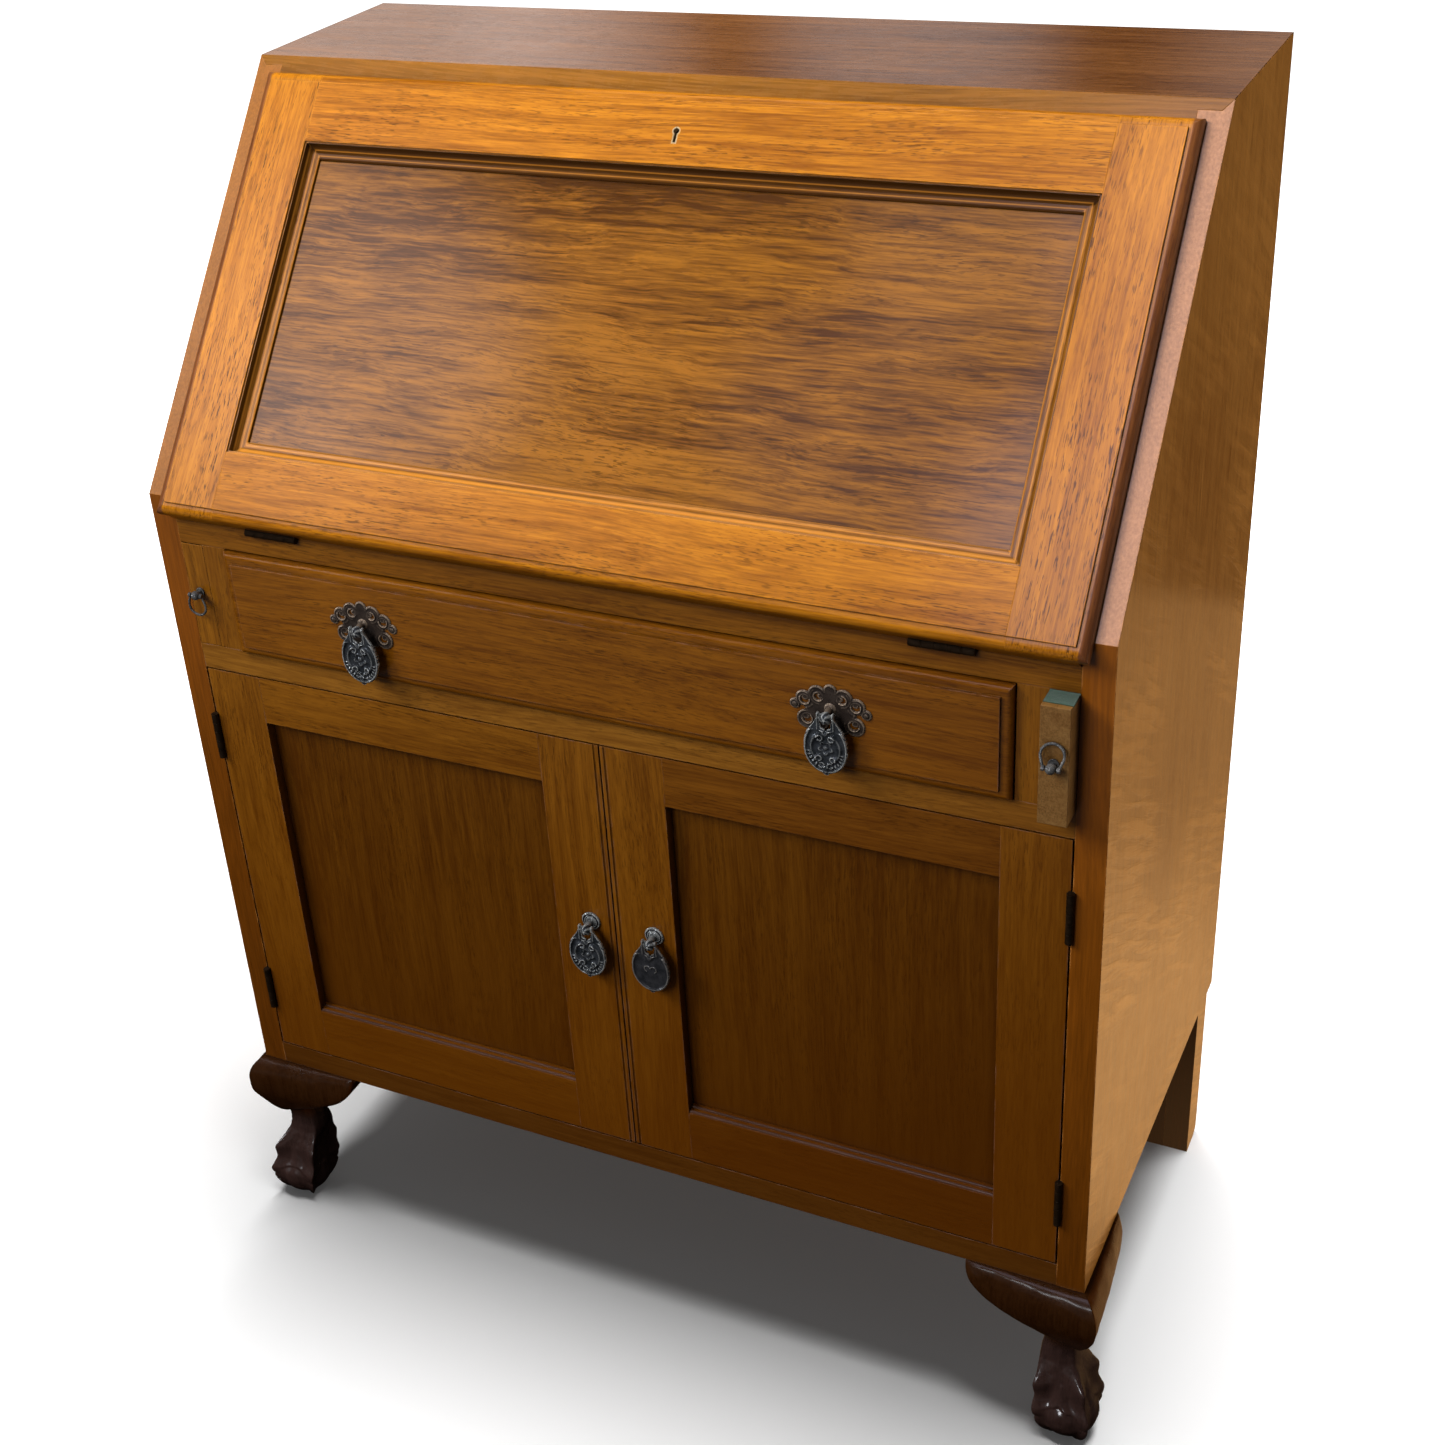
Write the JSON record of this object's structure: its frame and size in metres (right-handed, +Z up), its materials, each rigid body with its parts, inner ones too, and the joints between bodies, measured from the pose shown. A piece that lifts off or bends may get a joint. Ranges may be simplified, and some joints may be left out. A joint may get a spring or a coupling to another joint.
{
  "type": "secretary desk",
  "caption": "Fall-front secretary desk: slanted hinged writing fall on pull-out supports, drawer and panelled cupboard below, front cabriole legs with claw-and-ball feet.",
  "frame": {"origin": "on the floor, under the middle of the desk's box", "axes": "+Z up, the front faces -Y, +X to the right seen from the front"},
  "size_m": [0.7876, 0.4418, 1.003],
  "materials": {
    "case_wood": "varnished walnut, satin",
    "side_wood": "varnished walnut, satin, faded golden",
    "fall_wood": "varnished walnut, satin, amber",
    "fall_panel_wood": "varnished walnut, glossy",
    "door_wood": "varnished walnut, satin, dark",
    "loper_wood": "varnished walnut, satin",
    "foot_wood": "dark stained and polished",
    "inside_wood": "unstained secondary wood",
    "bronze": "antique bronze, darkened",
    "brass": "dull brass",
    "steel": "plain steel",
    "baize": "green baize"
  },
  "bodies": {
    "case": {"side_left": "side_wood", "side_right": "side_wood", "top": "case_wood", "back_panel": "inside_wood", "writing_deck": "case_wood", "drawer_rail": "case_wood", "bottom_rail": "case_wood", "bottom_board": "inside_wood", "divider_left": "case_wood", "divider_right": "case_wood", "drawer_runners": "inside_wood", "cupboard_shelf": "inside_wood", "shelf_cleats": "inside_wood", "door_stop": "case_wood", "leg_left": "foot_wood", "leg_right": "foot_wood", "knee_blocks": "foot_wood", "rear_feet": "side_wood", "pigeonhole_shelf": "inside_wood", "pigeonhole_dividers": "inside_wood", "hinge_plates": "brass", "hinge_pins": "brass", "lock_keeper": "brass"},
    "fall": {"fall_stiles": "fall_wood", "fall_rails": "fall_wood", "fall_panel": "fall_panel_wood", "fall_moulding": "fall_panel_wood", "fall_hinge_leaves": "brass", "lock_body": "steel", "keyhole_liner": "brass"},
    "bolt": {"lock_bolt": "brass"},
    "left_loper": {"loper_left": "loper_wood", "loper_baize_left": "baize", "loper_knob_left": "bronze"},
    "left_ring": {"loper_ring_left": "bronze"},
    "right_loper": {"loper_right": "loper_wood", "loper_baize_right": "baize", "loper_knob_right": "bronze"},
    "right_ring": {"loper_ring_right": "bronze"},
    "drawer": {"drawer_front": "door_wood", "drawer_sides": "inside_wood", "drawer_back": "inside_wood", "drawer_bottom": "inside_wood", "drawer_plates": "bronze"},
    "drawer_left_drop": {"drawer_drop_left": "bronze"},
    "drawer_right_drop": {"drawer_drop_right": "bronze"},
    "left_door": {"door_left_stiles": "door_wood", "door_left_rails": "door_wood", "door_left_panel": "door_wood", "door_left_fittings": "brass", "door_left_rosette": "bronze"},
    "left_door_drop": {"door_left_drop": "bronze"},
    "right_door": {"door_right_stiles": "door_wood", "door_right_rails": "door_wood", "door_right_panel": "door_wood", "door_right_fittings": "brass", "door_right_rosette": "bronze"},
    "right_door_drop": {"door_right_drop": "bronze"}
  },
  "joints": [
    {"name": "fall_hinge", "type": "hinge", "parent": "case", "child": "fall", "pos_m": [0, -0.1921, 0.70547], "axis": [1, 0, 0], "range_deg": [0, 129.5]},
    {"name": "lock_bolt_slide", "type": "slide", "parent": "fall", "child": "bolt", "axis": [0, 0.6361, 0.7716], "range_m": [0, 0.009]},
    {"name": "left_loper_slide", "type": "slide", "parent": "case", "child": "left_loper", "axis": [0, -1, 0], "range_m": [0, 0.26]},
    {"name": "right_loper_slide", "type": "slide", "parent": "case", "child": "right_loper", "axis": [0, -1, 0], "range_m": [-0.021, 0.239]},
    {"name": "left_ring_swing", "type": "hinge", "parent": "left_loper", "child": "left_ring", "pos_m": [-0.34775, -0.1961, 0.6435], "axis": [-1, 0, 0], "range_deg": [0, 180]},
    {"name": "right_ring_swing", "type": "hinge", "parent": "right_loper", "child": "right_ring", "pos_m": [0.34775, -0.2171, 0.6435], "axis": [1, 0, 0], "range_deg": [0, 198.5]},
    {"name": "drawer_slide", "type": "slide", "parent": "case", "child": "drawer", "axis": [0, -1, 0], "range_m": [0, 0.3]},
    {"name": "drawer_left_drop_swing", "type": "hinge", "parent": "drawer", "child": "drawer_left_drop", "pos_m": [-0.189, -0.2071, 0.6465], "axis": [-1, 0, 0], "range_deg": [0, 95]},
    {"name": "drawer_right_drop_swing", "type": "hinge", "parent": "drawer", "child": "drawer_right_drop", "pos_m": [0.189, -0.2071, 0.6465], "axis": [-1, 0, 0], "range_deg": [0, 95]},
    {"name": "left_door_hinge", "type": "hinge", "parent": "case", "child": "left_door", "pos_m": [-0.35735, -0.1913, 0.378], "axis": [0, 0, -1], "range_deg": [0, 165]},
    {"name": "right_door_hinge", "type": "hinge", "parent": "case", "child": "right_door", "pos_m": [0.35735, -0.1913, 0.378], "axis": [0, 0, 1], "range_deg": [0, 165]},
    {"name": "left_door_drop_swing", "type": "hinge", "parent": "left_door", "child": "left_door_drop", "pos_m": [-0.021, -0.199, 0.408], "axis": [-1, 0, 0], "range_deg": [0, 95]},
    {"name": "right_door_drop_swing", "type": "hinge", "parent": "right_door", "child": "right_door_drop", "pos_m": [0.034, -0.199, 0.408], "axis": [-1, 0, 0], "range_deg": [0, 95]}
  ]
}
